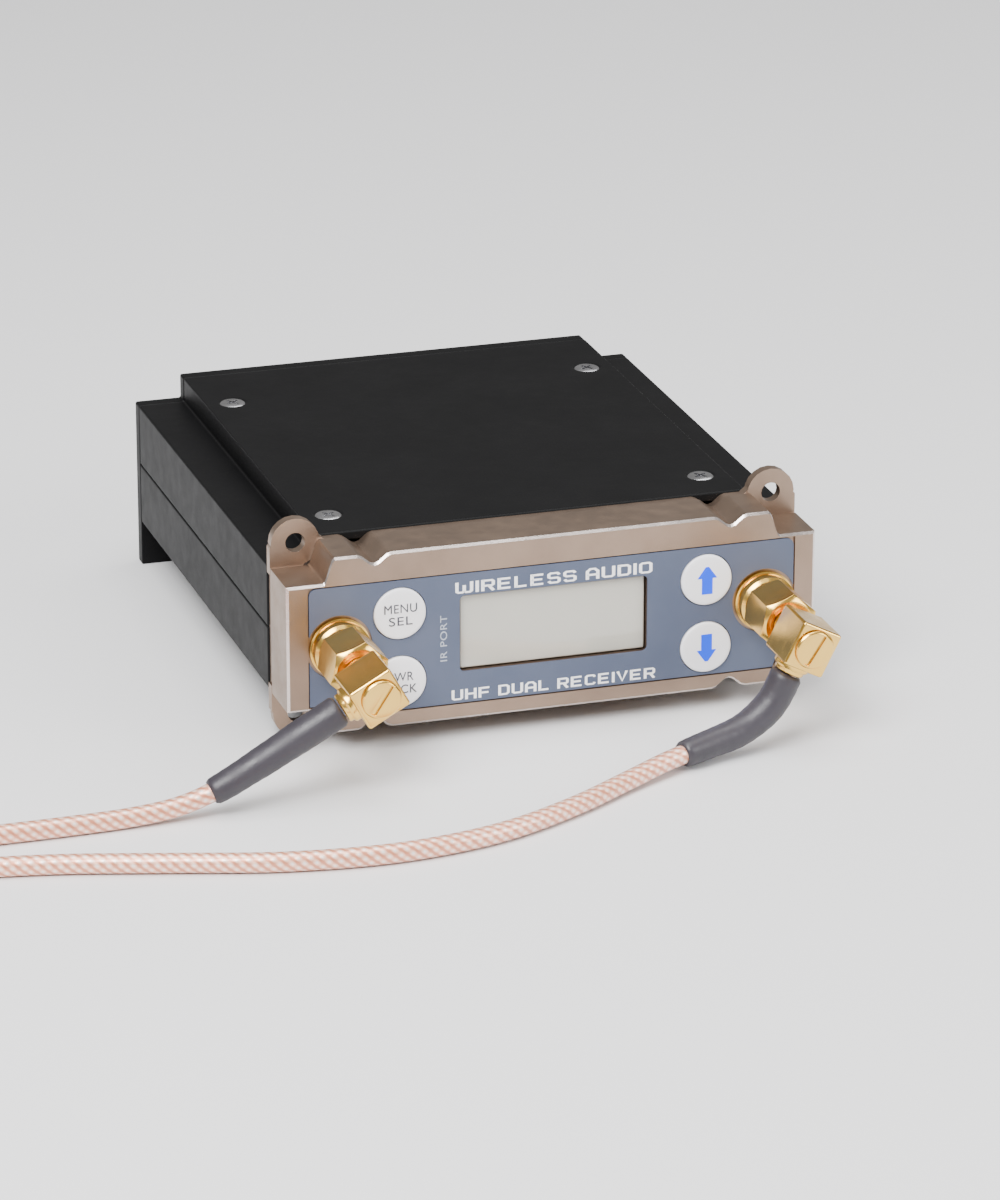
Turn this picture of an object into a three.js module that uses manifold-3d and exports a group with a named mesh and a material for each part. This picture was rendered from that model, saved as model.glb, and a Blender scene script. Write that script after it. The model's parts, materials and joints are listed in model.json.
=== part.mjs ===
// A slot-mount twin-channel wireless receiver with its two antenna leads, as an assembly of separate pieces.
// Millimetres. +X is to the right as a person faces the front panel, the front faces -Y and +Z is up.
// The origin is on the surface that the unit stands on, under the middle of the unit.
import * as THREE from "three";
import { mergeVertices } from "three/addons/utils/BufferGeometryUtils.js";
import Module from "manifold-3d";

const wasm = await Module();
wasm.setup();

// Overall sizes.
const plateWidth = 82;
const plateHeight = 27.4;
const unitDepth = 90; // front face of the bezel to the back of the rear plate
const jackReach = 8; // antenna jack's thread ahead of the front face
const connectorReach = 6; // rear connector behind the rear plate
const seat = 0.05; // gap between flat faces that rest on each other
const fit = 0.2; // gap all round a piece that sits in a hole

// Front bezel, a block with a scalloped edge and a pocket behind its front wall.
const bezelDepth = 9;
const bezelFrontWall = 2.5;
const bezelRim = 2.2;
const shoulderDrop = 3.9; // the corners are cut back by this much, to clear the ear screws
const shoulderRun = 5.6;
const shoulderStep = 1.8;
const dipStart = 10.8;
const dipRun = 5.2;
const dipDrop = 1.5;

// Ear flange behind the bezel.
const flangeThickness = 1.6;
const earRadius = 3.7;
const earHoleRadius = 1.5;
const earInset = 3.9;
const earSpacing = 26.8; // between the centres of an upper and a lower ear
const earFin = 4.9;
const flangeInset = 0.3;
const flangeWindowBorder = 4.6;

// Casing.
const casingWall = 1.5;
const cornerStep = 7.4;
const rearPlateThickness = 2.5;
const lugWidth = 7.4;
const boardPostRadius = 2;
const boardPostHeight = 3;
const pillarRadius = 2.4;
const screwRadius = 0.8;
const screwHoleRadius = 1.1;
const screwHeadRadius = 2;
const screwHeadHeight = 1.1;
const screwLength = 6;
const crossLength = 2.4;
const crossWidth = 0.5;
const crossDepth = 0.5;
const rearScrewInset = 2.8;
const rearScrewDrop = 3;
const rearBlockLength = 9;
const rearBlockWidth = 6;
const rearBlockHeight = 5;

// Label on the front, and the display behind it.
const labelSideBorder = 3.4;
const labelTopBorder = 4.55;
const labelBottomBorder = 2.55;
const labelThickness = 0.35;
const labelRim = 0.6; // least metal left outside the label where the corners are cut back
const labelHoleRadius = 5;
const displayWidth = 29.2;
const displayHeight = 12;
const displayDrop = 0.3;
const glassThickness = 1.3;
const glassRecess = 0.9;
const moduleBorder = 2.6;
const moduleThickness = 3;
const irOffset = 16.4;
const irWidth = 1.8;
const irHeight = 4;

// Keys.
const keyRadius = 3.95;
const keyOffset = 23.8;
const keySpacing = 10.7;
const keyDrop = 1.35;
const keyProud = 0.45;
const keyCollar = 0.45;
const keyCollarThickness = 0.8;
const keyStemRadius = 1.4;
const domeGap = 0.5; // room for the key's travel
const domeRadius = 2.4;
const domeHeight = 0.7;
const domeSheetThickness = 0.3;
const boardThickness = 1;
const boardGap = 0.4; // from the keypad board to the pocket's walls and the jacks
const socketWidth = 16;
const socketHeight = 3;
const socketThickness = 0.8;
const socketDrop = 4;
const ribbonWidth = 12;
const ribbonThickness = 0.3;

// Antenna jacks and the right-angle plugs on them.
const jackInset = 8;
const jackDrop = 0.3;
const jackRadius = 3.1;
const jackBore = 2.1;
const jackBoreDepth = 4;
const jackCollarRadius = 4;
const jackCollarThickness = 2;
const jackBodyLength = 5;
const jackNutRadius = 4.6;
const jackNutReach = 2.6;
const nutFlats = 8;
const nutStart = 3;
const nutLength = 8;
const nutLip = 1.4;
const noseRadius = 1.8;
const neckRadius = 2.2;
const ringThickness = 1;
const blockStart = 13;
const blockLength = 8.5;
const blockSide = 6.6;
const blockHeel = 3.7; // jack's axis to the side of the block where the cable leaves
const capRadius = 2.9;
const capThickness = 0.6;
const capSlot = 0.7;
const collarLength = 1.6;
const collarRadius = 2.7;

// Antenna leads: coax with heat-shrink sleeves at both ends, the spare length coiled.
const coaxRadius = 1.45;
const sleeveRadius = 2.45;
const sleeveLength = 22;
const sleeveSteps = 9;
const leadStep = 5.5; // length of each step of the coax
const endGap = 0.3;
const coilRadius = 15;
const farSleeveRadius = 2.3;
const farSleeveLength = 14;
const farNutLength = 9.5;
const farNutStart = 20.5;

// Main board and what stands on it.
const mainBoardGap = 0.6; // from the board to the cover's screw pillars
const mainBoardEndGap = 5.4; // from the board to the casing's ends
const mainBoardThickness = 1.6;
const shieldWidth = 21;
const shieldLength = 26;
const shieldHeight = 4;
const chipGap = 3;
const chipSize = 12;
const inductorSize = 9;
const inductorHeight = 4.5;
const headerWidth = 36;
const headerLength = 4;
const headerInset = 11; // from the header's middle to the rear plate
const pigtailRadius = 0.7;

// Rear connector.
const connectorRise = 1; // above the middle of the casing
const dWidth = 39;
const dHeight = 8.4;
const dWall = 0.5;
const dFlangeWidth = 53;
const dFlangeHeight = 12.4;
const dFlangeThickness = 1;
const jackPostSpacing = 47;
const jackPostHole = 1.6;
const contactPitch = 2.77;
const contactRowSpacing = 2.84;
const contactRadius = 0.5;
const contactRows = [13, 12];

const round = 24; // sides of a round bar
const smallRound = 12; // sides of a screw and its hole
const yFront = jackReach - (unitDepth + jackReach + connectorReach) / 2;
const yFlange = yFront + bezelDepth + seat;
const yCasing = yFlange + flangeThickness + seat;
const yRearPlate = yFront + unitDepth - rearPlateThickness;
const zMid = earSpacing / 2 + earRadius;
const zJack = zMid - jackDrop;
const xJack = plateWidth / 2 - jackInset;
const pocketWidth = plateWidth - 2 * (shoulderRun + shoulderStep + bezelRim);
const pocketHeight = plateHeight - 2 * bezelRim;
const labelWidth = plateWidth - 2 * labelSideBorder;
const labelHeight = plateHeight - labelTopBorder - labelBottomBorder;
const yBoard = yFront + bezelFrontWall + seat + moduleThickness + seat;

const finishes = {
  nickel: [0xa5968a, 0.38, 0.9],
  black: [0x101012, 0.45, 0.5],
  label: [0x7f8798, 0.5, 0],
  glass: [0xc6c4bd, 0.2, 0],
  white: [0xeaeaec, 0.45, 0],
  gold: [0xe0b458, 0.28, 1],
  sleeve: [0x4a464c, 0.55, 0],
  coax: [0xdcb4a4, 0.35, 0.2],
  board: [0x14532d, 0.5, 0],
  tin: [0xb8bcc0, 0.35, 0.9],
  steel: [0x8d9095, 0.35, 0.9],
  plastic: [0x1c1c20, 0.5, 0],
  amber: [0xb98a3a, 0.4, 0],
};
const materials = Object.fromEntries(
  Object.entries(finishes).map(([name, [color, roughness, metalness]]) => [
    name,
    new THREE.MeshStandardMaterial({ color, roughness, metalness }),
  ]),
);

const receiver = new THREE.Group();

function addMesh(name, geometry, finish) {
  const mesh = new THREE.Mesh(geometry, materials[finish]);
  mesh.name = name;
  receiver.add(mesh);
  return mesh;
}

// A closed geometry as a solid that can be cut and joined.
function solid(geometry) {
  const bare = geometry.index ? geometry.toNonIndexed() : geometry.clone();
  bare.deleteAttribute("normal");
  bare.deleteAttribute("uv");
  const merged = mergeVertices(bare, 1e-4);
  return new wasm.Manifold(
    new wasm.Mesh({
      numProp: 3,
      vertProperties: merged.attributes.position.array,
      triVerts: new Uint32Array(merged.index.array),
    }),
  );
}

function geometryOf(manifold) {
  const mesh = manifold.getMesh();
  const geometry = new THREE.BufferGeometry();
  geometry.setAttribute("position", new THREE.BufferAttribute(mesh.vertProperties, 3));
  geometry.setIndex(new THREE.BufferAttribute(mesh.triVerts, 1));
  const faceted = geometry.toNonIndexed();
  faceted.computeVertexNormals();
  return faceted;
}

// The first geometry with the others cut out of it.
function cut(base, ...tools) {
  return geometryOf(tools.reduce((body, tool) => body.subtract(solid(tool)), solid(base)));
}

function join(base, ...others) {
  return geometryOf(others.reduce((body, other) => body.add(solid(other)), solid(base)));
}

function keep(base, tool) {
  return geometryOf(solid(base).intersect(solid(tool)));
}

// A box from its middle in x and z, its sizes there, and the two ends of its run in y.
function block(x, z, width, height, y0, y1) {
  return new THREE.BoxGeometry(width, y1 - y0, height).translate(x, (y0 + y1) / 2, z);
}

// A round bar along y.
function bar(x, z, radius, y0, y1, sides = round) {
  return new THREE.CylinderGeometry(radius, radius, y1 - y0, sides).translate(x, (y0 + y1) / 2, z);
}

// A round post along z.
function post(x, y, radius, z0, z1, sides = smallRound) {
  return new THREE.CylinderGeometry(radius, radius, z1 - z0, sides)
    .rotateX(Math.PI / 2)
    .translate(x, y, (z0 + z1) / 2);
}

// An outline of [x, z] points as a slab from y0 to y1.
function slab(outline, y0, y1) {
  const shape = new THREE.Shape(outline.map(([x, z]) => new THREE.Vector2(x, z)));
  return new THREE.ExtrudeGeometry(shape, { depth: y1 - y0, bevelEnabled: false })
    .rotateX(Math.PI / 2)
    .translate(0, y1, zMid);
}

// Four copies of a corner's points, mirrored to each corner in turn and run on as one outline.
function fourCorners(corner) {
  const back = [...corner].reverse();
  return [
    ...corner.map(([x, z]) => [-x, z]),
    ...back.map(([x, z]) => [x, z]),
    ...corner.map(([x, z]) => [x, -z]),
    ...back.map(([x, z]) => [-x, -z]),
  ];
}

// The bezel's scalloped edge: a cut-back corner, a rounded step up, a bump and a dip.
function scalloped(inset = 0) {
  const corner = [];
  const add = (run, drop) => corner.push([
    plateWidth / 2 - Math.max(run, inset), plateHeight / 2 - drop - inset,
  ]);
  add(0, shoulderDrop);
  const stepParts = 5;
  for (let i = 0; i <= stepParts; i++) {
    const turn = (Math.PI * i) / stepParts;
    add(shoulderRun + (shoulderStep * i) / stepParts, (shoulderDrop * (1 + Math.cos(turn))) / 2);
  }
  const dipParts = 8;
  for (let i = 0; i <= dipParts; i++) {
    const turn = (2 * Math.PI * i) / dipParts;
    add(dipStart + (dipRun * i) / dipParts, (dipDrop * (1 - Math.cos(turn))) / 2);
  }
  return fourCorners(corner);
}

// The casing's section: a rectangle with stepped corners, drawn in by an inset.
function stepped(inset) {
  const side = plateWidth / 2 - inset;
  const top = plateHeight / 2 - inset;
  return fourCorners([
    [side, top - shoulderDrop],
    [side - cornerStep, top - shoulderDrop],
    [side - cornerStep, top],
  ]);
}

const mainBoardLength = yRearPlate - yCasing - 2 * mainBoardEndGap;
const boardMiddle = (yCasing + yRearPlate) / 2;
const boardBottom = zMid - plateHeight / 2 + casingWall + boardPostHeight + seat;
const boardTop = boardBottom + mainBoardThickness + seat;
const yShield = boardMiddle - mainBoardLength / 2 + shieldLength / 2 + 2;
const xPillar = plateWidth / 2 - cornerStep - pillarRadius - casingWall - 0.4;
const mainBoardWidth = 2 * (xPillar - pillarRadius - mainBoardGap);
const boardPostPlaces = [-1, 1].flatMap((side) => [-1, 1].map((end) => [
  side * (mainBoardWidth / 2 - 3),
  boardMiddle + end * (mainBoardLength / 2 - 3),
]));
const screwPlaces = [-1, 1].flatMap((side) => [yCasing + 8, yRearPlate - 14].map((y) => [
  side * xPillar,
  y,
]));
const rearScrewZ = zMid - rearScrewDrop;
const rearScrewXs = [-1, 1].map((side) => side * (plateWidth / 2 - casingWall - rearScrewInset));
const connectorZ = zMid + connectorRise;

const keyPlaces = [
  ["menu", -1, 1],
  ["back", -1, -1],
  ["up", 1, 1],
  ["down", 1, -1],
].map(([name, side, row]) => ({
  name,
  x: side * keyOffset,
  z: zMid - keyDrop + (row * keySpacing) / 2,
}));
const jackPlaces = [
  ["left", -1],
  ["right", 1],
].map(([name, side]) => ({ name, x: side * xJack }));
const earPlaces = [-1, 1].flatMap((side) =>
  [-1, 1].map((row) => ({ side, row, x: side * (plateWidth / 2 - earInset), z: (row * earSpacing) / 2 })),
);
const labelZ = zMid - (labelTopBorder - labelBottomBorder) / 2;
const displayZ = zMid - displayDrop;
const yLabelFloor = yFront + labelThickness + 2 * seat;

function addBezel() {
  const yPocket = [yFront + bezelFrontWall, yFront + bezelDepth + 1];
  const pockets = [
    block(0, zMid, plateWidth - 2 * bezelRim, plateHeight - 2 * (bezelRim + shoulderDrop), ...yPocket),
    block(0, zMid, pocketWidth, pocketHeight, ...yPocket),
  ];
  const recess = keep(
    block(0, labelZ, labelWidth + 2 * fit, labelHeight + 2 * fit, yFront - 1, yLabelFloor),
    slab(scalloped(labelRim - fit), yFront - 2, yLabelFloor + 1),
  );
  const through = [yFront - 1, yFront + bezelDepth + 1];
  const openings = [
    block(0, displayZ, displayWidth, displayHeight, ...through),
    block(-irOffset - irWidth / 2, displayZ, irWidth, irHeight, ...through),
    ...keyPlaces.map((k) => bar(k.x, k.z, keyRadius + fit, ...through)),
    ...jackPlaces.map((j) => bar(j.x, zJack, jackRadius + fit, ...through)),
  ];
  const body = slab(scalloped(), yFront, yFront + bezelDepth);
  addMesh("front_bezel", cut(body, ...pockets, recess, ...openings), "nickel");
}

function addFlange() {
  const y1 = yFlange + flangeThickness;
  const ears = earPlaces.map((e) => bar(e.x, zMid + e.z, earRadius, yFlange, y1, 20));
  const fins = earPlaces.map((e) => slab([
    [e.x - e.side * earFin, e.z - e.row * 0.3],
    [e.x, e.z + e.row * earRadius * 0.98],
    [e.x + e.side * earInset, e.z - e.row * 0.6],
    [e.x + e.side * earInset, e.z - e.row * (earRadius + 1)],
    [e.x, e.z - e.row * (earRadius + 1)],
  ], yFlange, y1));
  const holes = earPlaces.map((e) => bar(e.x, zMid + e.z, earHoleRadius, yFlange - 1, y1 + 1, 16));
  const window = block(0, zMid, plateWidth - 2 * flangeWindowBorder,
    plateHeight - 2 * (flangeWindowBorder + 1), yFlange - 1, y1 + 1);
  const plate = join(slab(scalloped(flangeInset), yFlange, y1), ...ears, ...fins);
  addMesh("ear_flange", cut(plate, window, ...holes), "nickel");
}

function addLabel() {
  const y0 = yFront + seat;
  const through = [y0 - 1, y0 + 1];
  const openings = [
    block(0, displayZ, displayWidth, displayHeight, ...through),
    ...keyPlaces.map((k) => bar(k.x, k.z, keyRadius + fit, ...through)),
    ...jackPlaces.map((j) => bar(j.x, zJack, labelHoleRadius, ...through)),
  ];
  const sheet = keep(
    block(0, labelZ, labelWidth, labelHeight, y0, y0 + labelThickness),
    slab(scalloped(labelRim), y0 - 1, y0 + labelThickness + 1),
  );
  addMesh("label_overlay", cut(sheet, ...openings), "label");
}

function addDisplay() {
  const yGlass = yFront + glassRecess;
  const glass = block(
    0, displayZ, displayWidth - 2 * fit, displayHeight - 2 * fit, yGlass, yGlass + glassThickness,
  );
  addMesh("lcd_glass", glass, "glass");
  const yModule = yFront + bezelFrontWall + seat;
  const module = block(0, displayZ, displayWidth + moduleBorder, displayHeight + moduleBorder,
    yModule, yModule + moduleThickness);
  addMesh("lcd_module", module, "plastic");
  const irX = -irOffset - irWidth / 2;
  const yIr = yLabelFloor + seat;
  const window = block(irX, displayZ, irWidth - 2 * fit, irHeight - 2 * fit, yIr, yModule + 0.6);
  addMesh("ir_window", window, "plastic");
}

// The two keys of a side, their stems and the boards' snap domes behind them.
function addKeys() {
  const yBack = yFront + bezelFrontWall + fit;
  const yStemEnd = yBoard - domeHeight - domeGap;
  for (const k of keyPlaces) {
    const key = join(
      bar(k.x, k.z, keyRadius, yFront - keyProud, yBack + 0.1),
      bar(k.x, k.z, keyRadius + keyCollar, yBack, yBack + keyCollarThickness),
      bar(k.x, k.z, keyStemRadius, yBack + keyCollarThickness - 0.1, yStemEnd, smallRound),
    );
    addMesh("key_" + k.name, key, "white");
  }
}

function addKeypadBoard() {
  const width = 2 * (xJack - jackCollarRadius - boardGap);
  const height = pocketHeight - 2 * boardGap;
  const y0 = yBoard + domeSheetThickness + seat;
  const y1 = y0 + boardThickness;
  const domes = keyPlaces.map((k) => bar(k.x, k.z, domeRadius, yBoard - domeHeight, y0 - seat, smallRound));
  const sheet = block(0, zMid, width, height, yBoard, y0 - seat);
  addMesh("dome_sheet", join(sheet, ...domes), "steel");
  const board = block(0, zMid, width, height, y0, y1);
  const socket = block(0, zMid - socketDrop, socketWidth, socketHeight, y0, y1 + socketThickness);
  addMesh("keypad_board", join(board, socket), "board");
}

function addCasing() {
  const y1 = yRearPlate - seat;
  const shell = cut(slab(stepped(0), yCasing, y1), slab(stepped(casingWall), yCasing - 1, y1 + 1));
  const half = (row) => block(0, zMid + (row * (plateHeight + seat)) / 2, plateWidth + 2, plateHeight,
    yCasing - 1, y1 + 1);
  const floor = zMid - plateHeight / 2 + casingWall;
  const ceiling = zMid + plateHeight / 2 - casingWall;
  const root = floor - casingWall / 3;
  const boardPosts = boardPostPlaces.map(([x, y]) =>
    post(x, y, boardPostRadius, root, floor + boardPostHeight));
  const pillars = screwPlaces.map(([x, y]) => post(x, y, pillarRadius, root, ceiling - seat));
  const pillarHoles = screwPlaces.map(([x, y]) =>
    post(x, y, screwHoleRadius, ceiling - screwLength - 1, ceiling + 1));
  const rearBlocks = rearScrewXs.map((x) =>
    block(x, rearScrewZ, rearBlockWidth, rearBlockHeight, y1 - rearBlockLength, y1));
  const rearHoles = rearScrewXs.map((x) =>
    bar(x, rearScrewZ, screwHoleRadius, y1 - screwLength - 1, y1 + 1, smallRound));
  const tray = join(keep(shell, half(-1)), ...boardPosts, ...pillars, ...rearBlocks);
  addMesh("chassis_tray", cut(tray, ...pillarHoles, ...rearHoles), "black");
  const coverHoles = screwPlaces.map(([x, y]) => countersink(x, y, fit));
  addMesh("top_cover", cut(keep(shell, half(1)), ...coverHoles), "black");
}

// A countersunk head and its shank, grown by a gap for the hole that takes it.
function countersink(x, y, gap) {
  const face = zMid + plateHeight / 2;
  const rim = screwHeadRadius + gap;
  const shank = gap ? screwHoleRadius : screwRadius;
  const tip = face - (gap ? casingWall + 1 : screwLength);
  const profile = [[0, tip], [shank, tip], [shank, face - screwHeadHeight], [rim, face]];
  if (gap) profile.push([rim, face + 1], [0, face + 1]);
  else profile.push([0, face]);
  return new THREE.LatheGeometry(profile.map(([r, z]) => new THREE.Vector2(r, z)), smallRound)
    .rotateX(Math.PI / 2)
    .translate(x, y, 0);
}

const crossArms = [[crossLength, crossWidth], [crossWidth, crossLength]];

function addScrews() {
  const top = zMid + plateHeight / 2;
  screwPlaces.forEach(([x, y], i) => {
    const slots = crossArms.map(([width, length]) =>
      new THREE.BoxGeometry(width, length, 2 * crossDepth).translate(x, y, top));
    addMesh("cover_screw_" + (i + 1), cut(countersink(x, y, 0), ...slots), "steel");
  });
  const y1 = yFront + unitDepth + seat;
  rearScrewXs.forEach((x, i) => {
    const yHead = y1 + screwHeadHeight;
    const head = bar(x, rearScrewZ, screwHeadRadius, y1, yHead, smallRound);
    const yTip = yRearPlate - screwLength + 1;
    const shank = bar(x, rearScrewZ, screwRadius, yTip, yHead - crossDepth, smallRound);
    const slots = crossArms.map(([width, height]) =>
      block(x, rearScrewZ, width, height, yHead - crossDepth, yHead + 1));
    addMesh("rear_screw_" + (i + 1), cut(join(head, shank), ...slots), "steel");
  });
}

// The rear connector's D outline, drawn in by an inset.
function dOutline(inset) {
  const [width, height] = [dWidth - 2 * inset, dHeight - 2 * inset];
  const slope = height * 0.18;
  return [
    [-width / 2, height / 2],
    [width / 2, height / 2],
    [width / 2 - slope, -height / 2],
    [-width / 2 + slope, -height / 2],
  ].map(([x, z]) => [x, z + connectorRise]);
}

function addRear() {
  const y1 = yFront + unitDepth;
  const yInside = yRearPlate - seat;
  const yMouth = y1 + connectorReach;
  const lugTop = zMid - plateHeight / 2 + shoulderDrop + 1;
  const lugs = [-1, 1].map((side) =>
    block(side * (plateWidth / 2 - lugWidth / 2), lugTop / 2, lugWidth, lugTop, yRearPlate, y1));
  const postXs = [-1, 1].map((side) => (side * jackPostSpacing) / 2);
  const postHoles = postXs.map((x) =>
    bar(x, connectorZ, jackPostHole, yInside - dFlangeThickness - 1, y1 + 1, smallRound));
  const screwHoles = rearScrewXs.map((x) =>
    bar(x, rearScrewZ, screwHoleRadius, yRearPlate - 1, y1 + 1, smallRound));
  const plate = join(slab(stepped(0), yRearPlate, y1), ...lugs);
  const dHole = slab(dOutline(-fit), yRearPlate - 1, y1 + 1);
  addMesh("rear_plate", cut(plate, dHole, ...postHoles, ...screwHoles), "black");

  const yFlangeBack = yInside - dFlangeThickness;
  const flange = block(0, connectorZ, dFlangeWidth, dFlangeHeight, yFlangeBack, yInside);
  const shell = join(flange, slab(dOutline(0), yFlangeBack, yMouth));
  const hollow = slab(dOutline(dWall), yFlangeBack - 1, yMouth + 1);
  addMesh("rear_connector_shell", cut(shell, hollow, ...postHoles), "tin");

  const contacts = contactRows.flatMap((count, row) =>
    Array.from({ length: count }, (_, i) =>
      bar((i - (count - 1) / 2) * contactPitch, connectorZ + (0.5 - row) * contactRowSpacing,
        contactRadius, yMouth - 2.5, yMouth, 6)));
  const insert = slab(dOutline(dWall + fit), yFlangeBack - 3, yMouth - 0.6);
  addMesh("rear_connector_insert", cut(insert, ...contacts), "plastic");

  ["left", "right"].forEach((name, i) => {
    const hex = bar(postXs[i], connectorZ, 2.7, y1 + seat, y1 + 5, 6);
    const stud = bar(postXs[i], connectorZ, jackPostHole - 0.3, yFlangeBack - 2, y1 + 1, smallRound);
    const bore = bar(postXs[i], connectorZ, 1.2, y1 + 1.5, y1 + 6, smallRound);
    addMesh("jack_post_" + name, cut(join(hex, stud), bore), "steel");
  });
}

function addMainBoard() {
  addMesh("main_board",
    new THREE.BoxGeometry(mainBoardWidth, mainBoardLength, mainBoardThickness)
      .translate(0, boardMiddle, boardBottom + mainBoardThickness / 2), "board");
  const addOnBoard = (name, [width, length, height], x, y, finish) =>
    addMesh(
      name, new THREE.BoxGeometry(width, length, height).translate(x, y, boardTop + height / 2), finish,
    );
  for (const j of jackPlaces) {
    const x = Math.sign(j.x) * (shieldWidth / 2 + 3);
    addOnBoard("rf_shield_" + j.name, [shieldWidth, shieldLength, shieldHeight], x, yShield, "tin");
  }
  const yChips = yShield + shieldLength / 2 + chipGap;
  addOnBoard("processor_chip", [chipSize, chipSize, 1.4], -8, yChips + chipSize / 2, "plastic");
  addOnBoard("power_inductor", [inductorSize, inductorSize, inductorHeight], 15,
    yChips + inductorSize / 2, "plastic");
  addOnBoard("output_header", [headerWidth, headerLength, 3], 0, yRearPlate - headerInset, "plastic");
}

// A flat ribbon from the keypad board down and back to the main board.
function addRibbon() {
  const thickness = ribbonThickness;
  const yStart = yBoard + domeSheetThickness + boardThickness + socketThickness + 2 * seat;
  const yEnd = yShield - shieldLength / 2 - 0.5;
  const zStart = zMid - socketDrop + 1;
  const zEnd = boardTop + seat;
  const side = [
    [yStart, zStart],
    [yStart, zEnd],
    [yEnd, zEnd],
    [yEnd, zEnd + thickness],
    [yStart + thickness, zEnd + thickness],
    [yStart + thickness, zStart],
  ];
  const shape = new THREE.Shape(side.map(([y, z]) => new THREE.Vector2(y, z)));
  const ribbon = new THREE.ExtrudeGeometry(shape, { depth: ribbonWidth, bevelEnabled: false })
    .applyMatrix4(new THREE.Matrix4().makeBasis(
      new THREE.Vector3(0, 1, 0), new THREE.Vector3(0, 0, 1), new THREE.Vector3(1, 0, 0)))
    .translate(-ribbonWidth / 2, 0, 0);
  addMesh("display_ribbon", ribbon, "amber");
}

// A round tube that follows a curve.
function tubeAlong(curve, radius, steps, sides = 8) {
  const section = new THREE.Shape(Array.from({ length: sides }, (_, i) => {
    const turn = (2 * Math.PI * i) / sides;
    return new THREE.Vector2(radius * Math.cos(turn), radius * Math.sin(turn));
  }));
  return new THREE.ExtrudeGeometry(section, { extrudePath: curve, steps, bevelEnabled: false });
}

function addJacks() {
  for (const j of jackPlaces) {
    const yCollar = yFront + bezelFrontWall + seat;
    const yBack = yCollar + jackCollarThickness + jackBodyLength;
    const jack = join(
      bar(j.x, zJack, jackRadius, yFront - jackReach, yCollar + 0.5),
      bar(j.x, zJack, jackCollarRadius, yCollar, yCollar + jackCollarThickness),
      bar(j.x, zJack, jackBore, yCollar + 1, yBack, smallRound),
    );
    const bore = bar(j.x, zJack, jackBore, yFront - jackReach - 1, yFront - jackReach + jackBoreDepth, 16);
    addMesh("sma_jack_" + j.name, cut(jack, bore), "gold");
    const nut = bar(j.x, zJack, jackNutRadius, yFront - jackNutReach, yLabelFloor - seat);
    addMesh("jack_nut_" + j.name,
      cut(nut, bar(j.x, zJack, jackRadius + fit, yFront - jackNutReach - 1, yFront + 2)), "gold");
    const side = Math.sign(j.x);
    const zLid = boardTop + shieldHeight + pigtailRadius + 2 * seat;
    const xLid = side * (shieldWidth / 2 + 3);
    const pigtail = new THREE.CatmullRomCurve3([
      new THREE.Vector3(j.x, yBack + endGap, zJack),
      new THREE.Vector3(j.x - side * 0.8, yBack + 2.6, zJack),
      new THREE.Vector3(j.x - side * 6, yBack + 5, zJack - 0.2),
      new THREE.Vector3(j.x - side * 11, yBack + 8, zJack - 1),
      new THREE.Vector3(xLid + side * 2, yShield - 3, zLid + 0.2),
      new THREE.Vector3(xLid, yShield + 4, zLid),
    ]);
    addMesh("pigtail_" + j.name, tubeAlong(pigtail, pigtailRadius, 14), "coax");
  }
}

// A hex bar along y with a stepped bore, open at the mating end: the captive nut of an antenna plug.
function captiveNut(yBack, yMouth, bore) {
  const way = Math.sign(yMouth - yBack);
  const corner = nutFlats / 2 / Math.cos(Math.PI / 6);
  const [y0, y1] = [Math.min(yBack, yMouth), Math.max(yBack, yMouth)];
  const lip = [yBack - way, yBack + way * (nutLip + 0.5)].sort((a, b) => a - b);
  const socket = [yBack + way * nutLip, yMouth + way].sort((a, b) => a - b);
  return cut(
    bar(0, 0, corner, y0, y1, 6),
    bar(0, 0, neckRadius + fit, ...lip, 16),
    bar(0, 0, bore, ...socket),
  );
}

// The places where each lead's plug points and its coax runs.
const leads = [
  {
    name: "left",
    x: -xJack,
    droop: 29, // degrees below level
    route: [
      [-44.4, -61.3, 10.5], [-50.5, -61.3, 7.1], [-56.6, -61.4, 4.0], [-62, -61.6, 2.3], [-69, -61.9, 1.6],
      [-79, -62.2, 1.5], [-90, -62.2, 1.5], [-101, -62, 1.5],
    ],
    coil: { x: -114, y: -47, turns: 2.25, way: -1, farTilt: 5 },
  },
  {
    name: "right",
    x: xJack,
    droop: 63,
    route: [
      [27.9, -61.4, 7.3], [23.4, -62.0, 4.1], [17.2, -63.6, 2.9], [10.5, -66.2, 2.3], [3, -70.2, 1.7],
      [-8, -77, 1.5], [-21, -83, 1.5], [-36, -85.5, 1.5], [-52, -84, 1.5], [-68, -79.5, 1.5],
      [-84, -75, 1.5], [-99, -72.6, 1.5], [-112, -72, 1.5],
    ],
    coil: { x: -124, y: -87, turns: 1.25, way: 1, farTilt: 0 },
  },
];
const yCable = yFront - blockStart - blockLength / 2;

// From the plug's collar along the lead to where its coil begins.
function leadCurve(lead) {
  const droop = THREE.MathUtils.degToRad(lead.droop);
  const reach = blockHeel + collarLength + endGap;
  const start = new THREE.Vector3(
    lead.x - reach * Math.cos(droop), yCable, zJack - reach * Math.sin(droop));
  const { x, y, way } = lead.coil;
  const entry = new THREE.Vector3(x, y + way * coilRadius, coaxRadius + seat);
  const points = lead.route.map((p) => new THREE.Vector3(...p));
  return new THREE.CatmullRomCurve3([start, ...points, entry]);
}

// The stretch of a curve between two lengths along it.
function stretch(curve, from, to, count) {
  const whole = curve.getLength();
  return new THREE.CatmullRomCurve3(Array.from({ length: count + 1 }, (_, i) =>
    curve.getPointAt((from + ((to - from) * i) / count) / whole)));
}


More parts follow.
